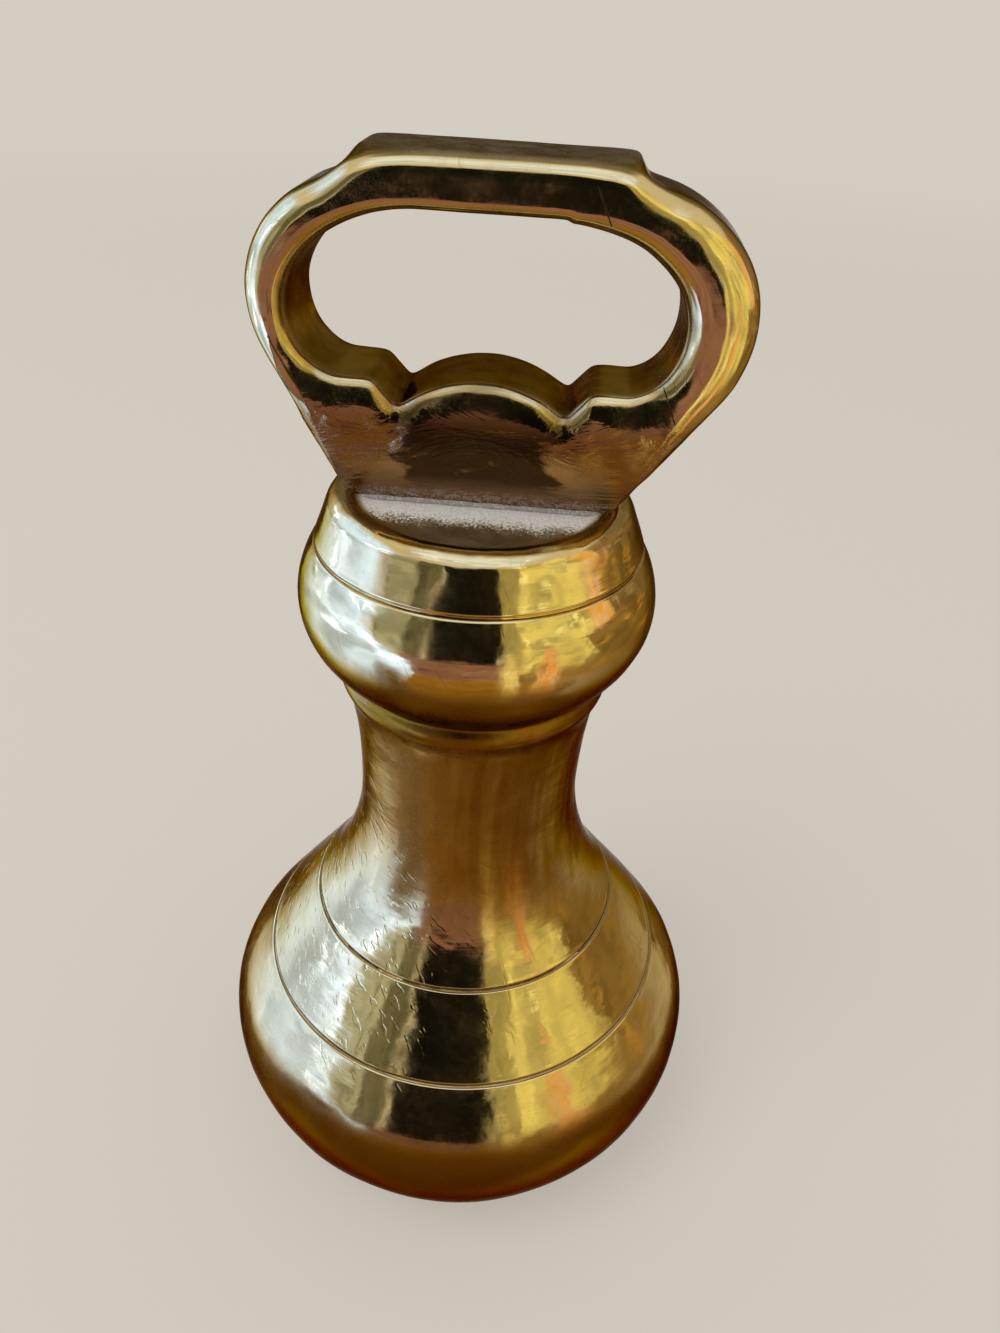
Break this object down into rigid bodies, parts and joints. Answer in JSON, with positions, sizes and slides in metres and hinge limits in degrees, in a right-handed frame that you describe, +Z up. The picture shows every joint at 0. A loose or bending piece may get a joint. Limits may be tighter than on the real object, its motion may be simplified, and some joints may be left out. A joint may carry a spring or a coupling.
{
  "type": "bell weight",
  "caption": "Brass bell-shaped balance weight with a turned bulb, neck and head, a cast loop handle on a scalloped plate, and a sealed adjusting cavity underneath.",
  "frame": {"origin": "centre of the base, on the surface that the weight stands on", "axes": "+Z up along the turned axis, +X along the handle to the right in the picture, -Y towards the viewer"},
  "size_m": [0.0886, 0.0886, 0.1713],
  "materials": {
    "bell_brass": "polished",
    "handle_brass": "polished",
    "fixing_brass": "satin",
    "solder": "matte",
    "lead": "matte"
  },
  "bodies": {
    "root": {"bell_body": "bell_brass", "handle": "handle_brass", "handle_stud": "fixing_brass", "left_dowel": "fixing_brass", "right_dowel": "fixing_brass", "front_solder": "solder", "rear_solder": "solder", "adjusting_shot": "lead", "closing_plug": "fixing_brass", "lead_seal": "lead"}
  },
  "joints": []
}
